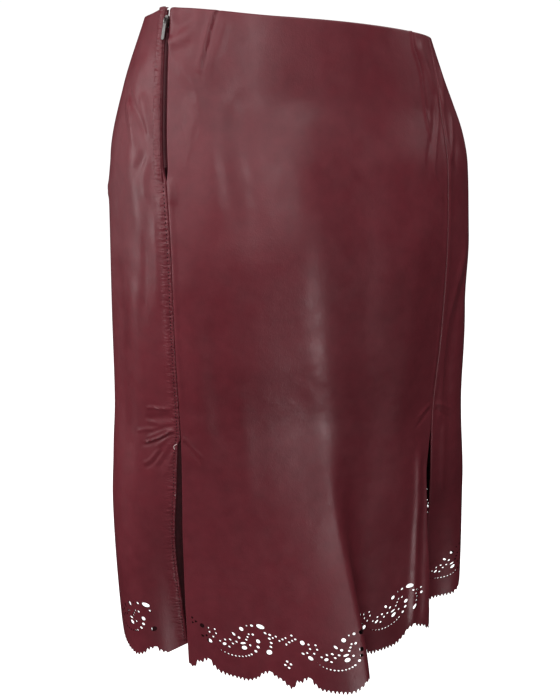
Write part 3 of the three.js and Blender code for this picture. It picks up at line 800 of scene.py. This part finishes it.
def build_underlay(material):
    """The strip behind the left slit, from the front panel's inside past the seam to the back's, in the
    darkened leather that paints the shade in the slit's gap.
    """
    columns = np.linspace(UNDERLAY["from"], UNDERLAY["to"], UNDERLAY_COLUMNS)
    rows = np.linspace(UNDERLAY["top"], UNDERLAY["bottom"], UNDERLAY_ROWS)
    across, down = (grid.ravel() for grid in np.meshgrid(columns, rows))
    layers = []
    for panel, first in (("front", 1), ("back", 0)):
        width = width_at(panel, down)
        share = first + across / width
        depth = crease_lift(panel, share * width, down, width) - WALL - UNDERLAY["gap"]
        layers.append(surface(panel, share, down) + depth[:, None] * surface_normal(panel, share, down))
    start, end = UNDERLAY_BLEND
    blend = ease((across - start) / (end - start))[:, None]
    points = layers[0] * (1 - blend) + layers[1] * blend
    outward = surface_normal("back", np.zeros(len(down)), down)
    faces = grid_faces(UNDERLAY_ROWS, UNDERLAY_COLUMNS)
    return shell_piece("slit_underlay_leather", points, faces, outward, WALL, material)


# Stitches
STITCH_PITCH = 3.2
STITCH_LENGTH = 1.5
STITCH_RADIUS = 0.5
TACK_RADIUS = 0.42


def capsule(start, end, out, radius, sides=6):
    """A stitch from start to end whose two ends dive into the cloth."""
    along = end - start
    side = np.cross(out, along)
    side /= np.linalg.norm(side)
    rings = [(0, 0.15, -0.9), (0.12, 0.75, -0.15), (0.5, 1, 0.35), (0.88, 0.75, -0.15), (1, 0.15, -0.9)]
    points = []
    for place, size, lift in rings:
        centre = start + along * place + out * radius * lift
        points += ring_points(centre, radius * size * side, radius * size * out, sides)
    return points, tube_faces(len(rings), sides)


def ring_points(centre, side, up, sides):
    turns = np.arange(sides) * 2 * math.pi / sides
    return [centre + side * math.cos(turn) + up * math.sin(turn) for turn in turns]


def tube_faces(rings, sides):
    """The faces of a closed tube whose points are listed ring by ring."""
    faces = []
    for ring in range(rings - 1):
        for k in range(sides):
            a, b = ring * sides + k, ring * sides + (k + 1) % sides
            faces.append((a, b, b + sides, a + sides))
    last = (rings - 1) * sides
    return faces + [tuple(range(sides))[::-1], tuple(range(last, last + sides))]


def joined(name, parts, material, sharp=60):
    """One object from many (points, faces) pairs."""
    points, faces = [], []
    for part_points, part_faces in parts:
        first = len(points)
        points += list(part_points)
        faces += [tuple(i + first for i in face) for face in part_faces]
    return new_mesh(name, points, faces, material, sharp)


def front_place(beside, down):
    """Points and normals of the front panel, at distances in from the left back seam's line."""
    share = (width_at("front", down) - beside) / width_at("front", down)
    return cloth_points("front", share, down), surface_normal("front", share, down)


def seam_stitches(material):
    """The topstitching on the front panel's edge, from below the zip nearly to the hem."""
    top, bottom = ZIP_LENGTH + 3, SKIRT_LENGTH - SCALLOP_DEPTH - 4
    path = [(float(column(LEFT_EDGES, "front", down)) + STITCH_INSET, float(down))
            for down in np.linspace(top, bottom, round((bottom - top) / 12))]
    line = smooth_path(path, 8)
    run = np.concatenate([[0], np.cumsum(np.linalg.norm(np.diff(line, axis=0), axis=1))])
    starts = np.arange(0, run[-1] - STITCH_LENGTH, STITCH_PITCH)
    (begins, outs), (ends, _) = (
        front_place(np.interp(place, run, line[:, 0]), np.interp(place, run, line[:, 1]))
        for place in (starts, starts + STITCH_LENGTH))
    parts = [capsule(a, b, out, STITCH_RADIUS) for a, b, out in zip(begins, ends, outs)]
    return joined("seam_stitches", parts, material)


def tack_stitches(material):
    """The pale zigzag that locks the left slit's top, and one loose thread end below it."""
    parts = []
    for path in ([(0.6, 369.2), (4.2, 372.4), (2.4, 375.8)], [(1.2, 421.5), (0.6, 422.7)]):
        across, down = np.array(path).T
        points, outs = front_place(across + column(LEFT_EDGES, "front", down), down)
        for start, end, out in zip(points, points[1:], outs):
            parts.append(capsule(start + 0.2 * out, end + 0.2 * out, out, TACK_RADIUS))
    return joined("slit_tack", parts, material)


# The zip. A place beside it is (across, down, out): across is from the seam line towards the back.
ANGLE_STEP = 0.002
TAPE_HALF = 9
TAPE_OUT = -1.8
TAPE_RISE = 1.2
LAP_WIDTH = 8
LAP_START = -ZIP_HALF_GAP - 0.3
SLIDER_DOWN = 7


def zip_points(across, down, out):
    across, down, out = (np.asarray(x, float) for x in (across, down, out))
    seam = np.radians(column(SECTIONS, "seam", down))
    arc = body_point(seam - ANGLE_STEP, down) - body_point(seam + ANGLE_STEP, down)
    angle = seam - across * 2 * ANGLE_STEP / np.linalg.norm(arc, axis=-1)
    along = body_point(angle - ANGLE_STEP, down) - body_point(angle + ANGLE_STEP, down)
    descent = body_point(angle, down + 1) - body_point(angle, down - 1)
    normal = np.cross(descent, along)
    normal /= np.linalg.norm(normal, axis=-1, keepdims=True)
    return body_point(angle, down) + out[..., None] * normal, normal


LAP_ROUNDING = 7
LAP_THICKNESS = 0.6
TAPE_THICKNESS = 0.6


def strip(rows, section):
    """The points, faces and normals of a strip down the zip, from its section at each distance."""
    sections = [section(ZIP_LENGTH * j / rows) for j in range(rows + 1)]
    points, normals = (np.vstack(part) for part in zip(*sections))
    return points, grid_faces(rows + 1, len(sections[0][0])), normals


def build_lap(material):
    """The strip of leather stitched along the zip: it swells between its stitches and its edge."""
    shares = np.array([0, 0.03, 0.08, 0.16, 0.26, 0.38, 0.5, 0.62, 0.73, 0.82, 0.89, 0.94, 0.97, 0.99, 1])

    def section(down):
        left = LAP_START - LAP_WIDTH + rolled(ZIP_LENGTH - down, LAP_ROUNDING)
        across = left + (LAP_START - left) * shares
        swell = 0.5 + 0.25 * math.sin(down / 9) + 0.2 * math.sin(down / 3.7 + 1)
        sunk = 0.9 * rolled((1 - shares) * LAP_WIDTH, 1.4) + 0.9 * rolled(shares * LAP_WIDTH, 1)
        out = 1.5 + swell * np.sin(math.pi * shares) - sunk - 0.8 * rolled(ZIP_LENGTH - down, 1.2)
        place, normal = zip_points(across, np.full(len(shares), down), out)
        place[:, 2] += waist_lift("front", -across, down)
        return place, normal

    piece = shell_piece("zip_lap_leather", *strip(64, section), LAP_THICKNESS, material)
    set_seam_mask(piece, np.ones(len(piece.data.vertices)))
    return piece


def lap_stitches(material):
    down = np.arange(16, ZIP_LENGTH - 6, STITCH_PITCH)
    across, out = np.full(len(down), LAP_START - LAP_WIDTH + 1), np.full(len(down), 1.05)
    begins, outs = zip_points(across, down, out)
    ends, _ = zip_points(across, down + STITCH_LENGTH, out)
    parts = [capsule(a, b, up, STITCH_RADIUS) for a, b, up in zip(begins, ends, outs)]
    return joined("zip_lap_stitches", parts, material)


def build_tape(material):
    """The woven tapes on each side of the teeth, with a thicker edge next to them."""
    parts = []
    for side in (-1, 1):
        places = side * np.array([TAPE_HALF, 8, 6, 4, 2.8, 2.2, 1.6, 1.1])
        rise = np.array([0, 0, 0, 0, 0, 0.35, 0.45, 0.3])

        def section(down):
            place, normal = zip_points(places, np.full(len(places), down), TAPE_OUT + rise)
            place[:, 2] += waist_lift("back", 0, down) * TAPE_RISE
            return place, normal

        shell, front_faces, other_faces = thin_shell(*strip(60, section), TAPE_THICKNESS)
        parts.append((shell, front_faces + other_faces))
    return joined("zip_tapes", parts, material)


TOOTH_GAP = 1.5
TOOTH_RADIUS = 0.42
TOOTH_PATH = [(1.7, -1.1), (1.1, -0.35), (0.2, -0.1), (-0.5, -0.35), (-0.7, -0.8)]
CHAIN_TOP = 16
CHAIN_BOTTOM = 120


def build_teeth(material):
    """A nylon coil: small loops that reach across the middle from each tape in turn."""
    parts = []
    reach, out = np.array(TOOTH_PATH).T
    for n, down in enumerate(np.arange(CHAIN_TOP, CHAIN_BOTTOM, TOOTH_GAP / 2)):
        across = reach if n % 2 else -reach
        centres, normals = zip_points(across, np.full(len(out), down), out)
        below, _ = zip_points(across, np.full(len(out), down + 1), out)
        points = []
        for centre, up, step in zip(centres, normals, below - centres):
            side = step / np.linalg.norm(step)
            points += ring_points(centre, TOOTH_RADIUS * 0.8 * side, TOOTH_RADIUS * up, 6)
        faces = tube_faces(len(out), 6)
        parts.append((points, [face[::-1] for face in faces] if n % 2 else faces))
    return joined("zip_teeth", parts, material)


def zip_frame():
    """The slider's own frame: X across the zip, Y up it and Z out of it."""
    origin, out = zip_points(0, SLIDER_DOWN, 0)
    across = zip_points(1, SLIDER_DOWN, 0)[0] - zip_points(-1, SLIDER_DOWN, 0)[0]
    across /= np.linalg.norm(across)
    up = np.cross(out, across)
    up /= np.linalg.norm(up)
    rows = np.stack([across, up, out, origin * MM], -1).tolist()
    return Matrix(rows + [(0, 0, 0, 1)])


def plate(outline, holes, low, high):
    """A flat plate with holes between two heights, as (points, faces)."""
    points, edges = [], []
    for loop in (outline, *holes):
        add_loop(points, edges, loop)
    flat, _, triangles, _, _, _ = delaunay_2d_cdt([Vector(p) for p in points], edges, [], 2, 1e-6)
    faces = [tuple(t) for t in triangles]
    count = len(flat)
    walls = [(b, a, a + count, b + count) for a, b in open_edges(faces)]
    points = [(p[0], p[1], height) for height in (high, low) for p in flat]
    return points, faces + [tuple(i + count for i in f[::-1]) for f in faces] + walls


def rounded_rectangle(width, length, radius, up=0.0, steps=5):
    points = []
    for corner, (x, y) in enumerate(((1, 1), (-1, 1), (-1, -1), (1, -1))):
        for k in range(steps + 1):
            turn = math.pi / 2 * (corner + k / steps)
            points.append((x * (width / 2 - radius) + radius * math.cos(turn),
                           up + y * (length / 2 - radius) + radius * math.sin(turn)))
    return points


SLIDER_WIDTH = 4.4
SLIDER_LENGTH = 10
SLIDER_TOP = 2.2
ARCH_WIDTH = 1.2
ARCH_HALF = 3
ARCH_WINDOW = 1.6
ARCH_THICKNESS = 0.9
ARCH_SQUARENESS = 0.75
PIVOT_UP = 1.4
PIVOT_OUT = SLIDER_TOP + ARCH_WINDOW / 2
PULL_LENGTH = 18
PULL_WIDTH = 3.6
PULL_THICKNESS = 0.8


def placed(piece, matrix, lift=(0, 0, 0)):
    piece.data.transform(Matrix.Translation(Vector(lift) * MM))
    piece.data.transform(matrix)


def round_edges(piece, width):
    bevel = piece.modifiers.new("rounded", "BEVEL")
    bevel.width = width * MM
    bevel.segments = 3
    bevel.limit_method = "ANGLE"
    bevel.angle_limit = math.radians(40)


def build_slider(material):
    half, end = SLIDER_WIDTH / 2, SLIDER_LENGTH / 2
    outline = [(-0.7 * half, -end), (0.7 * half, -end), (half, 0.2 * end)]
    for k in range(1, 12):
        turn = math.pi * k / 12
        outline.append((half * math.cos(turn), 0.2 * end + 0.8 * end * math.sin(turn)))
    outline.append((-half, 0.2 * end))
    parts = [plate(outline, [], 1.1, SLIDER_TOP), plate(outline, [], -1.3, -0.5)]
    parts.append(plate(rounded_rectangle(1.2, 3.4, 0.5, 2.6), [], -0.6, 1.2))
    points = []
    steps = 14
    w, foot = ARCH_WIDTH / 2, SLIDER_TOP - 0.3
    for k in range(steps + 1):
        turn = math.pi * k / steps
        rise = math.sin(turn) ** ARCH_SQUARENESS
        y = -ARCH_HALF * math.copysign(abs(math.cos(turn)) ** ARCH_SQUARENESS, math.cos(turn))
        z = foot + (ARCH_WINDOW + ARCH_THICKNESS + 0.3) * rise
        inner_y = y * (1 - ARCH_THICKNESS / ARCH_HALF)
        inner_z = foot + (ARCH_WINDOW + 0.3) * rise
        points += [(-w, y, z), (w, y, z), (w, inner_y, inner_z), (-w, inner_y, inner_z)]
    parts.append((points, tube_faces(steps + 1, 4)))
    piece = joined("zip_slider_body", parts, material, 40)
    placed(piece, zip_frame())
    round_edges(piece, 0.18)
    return piece


def build_pull(material):
    half = PULL_THICKNESS / 2
    outline = rounded_rectangle(PULL_WIDTH, PULL_LENGTH, 1.2, half - PULL_LENGTH / 2)
    waisted = [(x * (0.82 if -7 < y < -2 else 1), y) for x, y in outline]
    slot = rounded_rectangle(1.8, 4.9, 0.6, -half - 2.5)[::-1]
    eye = rounded_rectangle(1.6, 4.4, 0.75, 4 - PULL_LENGTH)[::-1]
    piece = joined("zip_pull_tab", [plate(waisted, [slot, eye], -half, half)], material, 40)
    placed(piece, zip_frame(), (0, PIVOT_UP, PIVOT_OUT))
    round_edges(piece, 0.16)
    return piece


# Materials
def fill(tree, node, inputs):
    """Gives a node's inputs their numbers, their colours or the outputs of other nodes."""
    for key, value in inputs.items():
        if isinstance(value, bpy.types.NodeSocket):
            tree.links.new(value, node.inputs[key])
        else:
            node.inputs[key].default_value = value


def add(tree, kind, inputs):
    node = tree.nodes.new(kind)
    fill(tree, node, inputs)
    return node


def material(name):
    made = bpy.data.materials.new(name)
    made.use_nodes = True
    return made, made.node_tree, made.node_tree.nodes["Principled BSDF"]


def object_place(tree):
    return tree.nodes.new("ShaderNodeTexCoord").outputs["Object"]


def noise(tree, place, scale, detail, roughness, stretch=None):
    if stretch:
        place = add(tree, "ShaderNodeMapping", {"Vector": place, "Scale": stretch}).outputs["Vector"]
    inputs = {"Vector": place, "Scale": scale, "Detail": detail, "Roughness": roughness}
    return add(tree, "ShaderNodeTexNoise", inputs).outputs["Fac"]


def ramp(tree, value, stops):
    node = add(tree, "ShaderNodeValToRGB", {"Fac": value})
    elements = node.color_ramp.elements
    while len(elements) < len(stops):
        elements.new(0.5)
    for element, (place, colour) in zip(elements, stops):
        element.position = place
        element.color = (*colour, 1)
    return node.outputs["Color"]


def spread(tree, value, low, high, start=0, end=1):
    inputs = {"Value": value, "From Min": start, "From Max": end, "To Min": low, "To Max": high}
    return add(tree, "ShaderNodeMapRange", inputs).outputs["Result"]


def combine(tree, kind, first, second):
    node = add(tree, "ShaderNodeMath", {0: first, 1: second})
    node.operation = kind
    return node.outputs[0]


def bump(tree, height, depth, strength, after=None):
    node = add(tree, "ShaderNodeBump", {"Height": height, "Distance": depth * MM, "Strength": strength})
    if after is not None:
        tree.links.new(after, node.inputs["Normal"])
    return node.outputs["Normal"]


LEATHER_LIGHT = (0.222, 0.0305, 0.044)
LEATHER_MID = (0.186, 0.025, 0.0365)
LEATHER_DARK = (0.148, 0.0192, 0.0285)


def leather_material():
    """Smooth dyed nappa: fine pores, soft mottling in its sheen, and puckers beside its seams."""
    made, tree, shader = material("leather")
    place = object_place(tree)
    patches = combine(tree, "MULTIPLY", noise(tree, place, 9, 4, 0.55), 0.6)
    mottle = combine(tree, "MULTIPLY", noise(tree, place, 85, 3, 0.6), 0.4)
    tone = combine(tree, "ADD", patches, mottle)
    pores = add(tree, "ShaderNodeTexVoronoi", {"Vector": place, "Scale": 950}).outputs["Distance"]
    relief = bump(tree, pores, 0.09, 0.5)
    for scale, detail, roughness, depth, strength in (
            (420, 3, 0.6, 0.16, 0.5), (62, 3, 0.5, 0.8, 0.35), (22, 2, 0.45, 2.4, 0.35)):
        relief = bump(tree, noise(tree, place, scale, detail, roughness), depth, strength, relief)
    mask = tree.nodes.new("ShaderNodeAttribute")
    mask.attribute_name = "seam_mask"
    pucker = noise(tree, place, 330, 2, 0.5, stretch=(0.35, 0.35, 1))
    height = combine(tree, "MULTIPLY", mask.outputs["Fac"], pucker)
    fill(tree, shader, {
        "Base Color": ramp(tree, tone, [(0.3, LEATHER_DARK), (0.5, LEATHER_MID), (0.7, LEATHER_LIGHT)]),
        "Roughness": spread(tree, noise(tree, place, 60, 4, 0.6), 0.34, 0.47, 0.3, 0.7),
        "Normal": bump(tree, height, 1.7, 0.9, relief),
        "Specular IOR Level": 0.5,
    })
    return made


def plain_material(name, pattern, stops, settings, relief=None, gloss=None):
    """A material whose colour, relief and gloss all follow one noise, or a weave if there is none."""
    made, tree, shader = material(name)
    if pattern:
        value = noise(tree, object_place(tree), *pattern)
    else:
        inputs = {"Vector": object_place(tree), "Scale": 320, "Distortion": 1.2}
        weave = add(tree, "ShaderNodeTexWave", inputs)
        weave.wave_type = "BANDS"
        weave.bands_direction = "Z"
        value = weave.outputs["Fac"]
    fill(tree, shader, {"Base Color": ramp(tree, value, stops), **settings})
    if relief:
        fill(tree, shader, {"Normal": bump(tree, value, *relief)})
    if gloss:
        fill(tree, shader, {"Roughness": spread(tree, value, *gloss)})
    return made


LEATHER = leather_material()
# Painted shade: a leather darkened well below the outside's colour. It is used for the slit's underlay, which
# lies in the shadowed gap, and also covers the panels' insides and cut rims.
SHADED_LEATHER_INSIDE = plain_material(
    "leather_inside_painted_shade", (240, 4, 0.65), [(0.35, (0.026, 0.0032, 0.005)), (0.7, (0.05, 0.0062, 0.0096))],
    {"Roughness": 0.85, "Specular IOR Level": 0.25}, relief=(0.25, 0.5))
# The seam and lap stitches: partly the thread's own dark burgundy, partly painted shade, made darker to stand
# for the shadowed needle holes and dimples the stitches sit in.
THREAD_AND_PAINTED_SHADE, PALE_THREAD = (
    plain_material(name, (900, 2, 0.5), [(0.35, dark), (0.65, light)],
                   {"Roughness": 0.75, "Specular IOR Level": 0.25}, relief=(0.1, 0.6))
    for name, dark, light in (("thread_burgundy_and_painted_shade", (0.012, 0.0025, 0.004), (0.04, 0.007, 0.011)),
                              ("thread_pale", (0.8, 0.55, 0.55), (0.9, 0.74, 0.72))))
TAPE = plain_material(
    "zip_tape_cloth", None, [(0.2, (0.055, 0.008, 0.012)), (0.8, (0.11, 0.017, 0.026))],
    {"Roughness": 0.9, "Specular IOR Level": 0.2}, relief=(0.12, 0.6))
TEETH = plain_material(
    "zip_teeth_nylon", (300, 2, 0.5), [(0.3, (0.09, 0.014, 0.021)), (0.7, (0.15, 0.024, 0.035))],
    {}, gloss=(0.4, 0.55))
STEEL = plain_material(
    "polished_steel", (700, 4, 0.6), [(0.3, (0.14, 0.132, 0.13)), (0.7, (0.28, 0.27, 0.262))],
    {"Metallic": 1}, relief=(0.03, 0.4), gloss=(0.28, 0.46, 0.3, 0.7))

back_piece = build_panel("back", LEATHER, SHADED_LEATHER_INSIDE)
front_piece = build_panel("front", LEATHER, SHADED_LEATHER_INSIDE)
underlay_piece = build_underlay(SHADED_LEATHER_INSIDE)
lap_piece = build_lap(LEATHER)
tape_piece = build_tape(TAPE)
teeth_piece = build_teeth(TEETH)
slider_piece = build_slider(STEEL)
pull_piece = build_pull(STEEL)
stitch_piece = seam_stitches(THREAD_AND_PAINTED_SHADE)
lap_stitch_piece = lap_stitches(THREAD_AND_PAINTED_SHADE)
tack_piece = tack_stitches(PALE_THREAD)

for piece, body, node, slot in (
        (back_piece, "skirt", "back_panel", "leather"),
        (front_piece, "skirt", "front_panel", "leather"),
        (underlay_piece, "skirt", "slit_underlay", "leather"),
        (lap_piece, "skirt", "zip_lap", "leather"),
        (tape_piece, "skirt", "zip_tape", "zip_tape"),
        (teeth_piece, "skirt", "zip_chain", "zip_teeth"),
        (slider_piece, "skirt", "zip_slider", "steel"),
        (pull_piece, "zip_pull", "zip_pull", "steel"),
        (stitch_piece, "skirt", None, "leather"),
        (lap_stitch_piece, "skirt", None, "leather"),
        (tack_piece, "skirt", None, "leather")):
    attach(piece, body)
    if node:
        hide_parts(node)


# The studio
def floor():
    size, height = 40, -1
    mesh = bpy.data.meshes.new("floor")
    corners = [(-size, -size, height), (size, -size, height), (size, size, height), (-size, size, height)]
    mesh.from_pydata(corners, [], [(0, 1, 2, 3)])
    made, tree, shader = material("pale_floor")
    fill(tree, shader, {"Base Color": (0.9, 0.9, 0.9, 1), "Roughness": 0.9,
                        "Emission Color": (1, 1, 1, 1), "Emission Strength": 1})
    mesh.materials.append(made)
    made_floor = bpy.data.objects.new("floor", mesh)
    bpy.context.scene.collection.objects.link(made_floor)
    made_floor.visible_diffuse = False
    made_floor.visible_glossy = False


LIT_HEIGHT = -0.14


def area_light(name, azimuth, elevation, distance, size, power, sheen_only=False):
    """A soft box that faces the skirt. Its azimuth is measured as on the body."""
    data = bpy.data.lights.new(name, "AREA")
    data.shape = "RECTANGLE"
    data.size, data.size_y = size
    data.energy = power
    light = bpy.data.objects.new(name, data)
    light.visible_diffuse = not sheen_only
    a, e = math.radians(azimuth), math.radians(elevation)
    away = Vector((math.sin(a) * math.cos(e), math.cos(a) * math.cos(e), math.sin(e)))
    light.location = Vector((0, 0, LIT_HEIGHT)) + away * distance
    light.rotation_mode = "QUATERNION"
    light.rotation_quaternion = away.to_track_quat("Z", "Y")
    bpy.context.scene.collection.objects.link(light)


AMBIENT = {"diffuse": 0.125, "glossy": 0.01, "camera": 1.05}


def surroundings():
    """White to the camera, dim to the skirt, and dimmer still in its sheen."""
    world = bpy.data.worlds.new("studio")
    bpy.context.scene.world = world
    world.use_nodes = True
    tree = world.node_tree
    tree.nodes.clear()
    path = tree.nodes.new("ShaderNodeLightPath")
    shown = None
    for key, ray in (("diffuse", None), ("glossy", "Is Glossy Ray"), ("camera", "Is Camera Ray")):
        inputs = {"Strength": AMBIENT[key], "Color": (1, 1, 1, 1)}
        light = add(tree, "ShaderNodeBackground", inputs).outputs[0]
        if ray:
            light = add(tree, "ShaderNodeMixShader", {0: path.outputs[ray], 1: shown, 2: light}).outputs[0]
        shown = light
    add(tree, "ShaderNodeOutputWorld", {0: shown})


def camera():
    """At the height of the waist, behind the wearer's left hip, looking a little down."""
    stand = Vector((0.2179, 0.9241, 0.020))
    bearing, pitch, roll = 2.910, 0.345, -0.003
    flat = math.cos(pitch)
    forward = Vector((-math.sin(bearing) * flat, math.cos(bearing) * flat, -math.sin(pitch)))
    data = bpy.data.cameras.new("camera")
    data.sensor_width = 36
    data.lens = 49.2
    data.shift_x = -0.016
    made = bpy.data.objects.new("camera", data)
    made.location = stand
    made.rotation_euler = forward.to_track_quat("-Z", "Y").to_euler()
    made.rotation_euler.rotate_axis("Z", roll)
    bpy.context.scene.collection.objects.link(made)
    bpy.context.scene.camera = made


floor()
surroundings()
area_light("key", 62, 14, 1.5, (0.8, 1.2), 3.7)
area_light("spark", 72, 26, 1.5, (0.32, 0.36), 1)
area_light("high_left", 36, 42, 1.5, (1, 1), 2.9)
area_light("high_right", -8, 45, 1.5, (0.9, 0.9), 4.9)
area_light("hip", 84, 44, 1.45, (0.5, 0.5), 1.4)
area_light("left", 98, 6, 1.4, (0.5, 1), 5.4)
area_light("far_left", 135, 4, 1.5, (0.4, 1), 0.6)
area_light("middle", 20, 12, 1.6, (0.4, 0.5), 3.4)
area_light("strip", -13, -17, 1.6, (0.3, 0.9), 1.5, sheen_only=True)
area_light("low", -8, -36, 1.6, (0.4, 0.6), 6, sheen_only=True)
area_light("right", -78, 34, 1.5, (0.5, 0.9), 2.6)
area_light("front_fill", 196, 42, 1.8, (1.2, 1.2), 9)
area_light("front_side", 246, 40, 1.7, (0.9, 1), 4)
camera()
bpy.context.scene.view_settings.view_transform = "Standard"
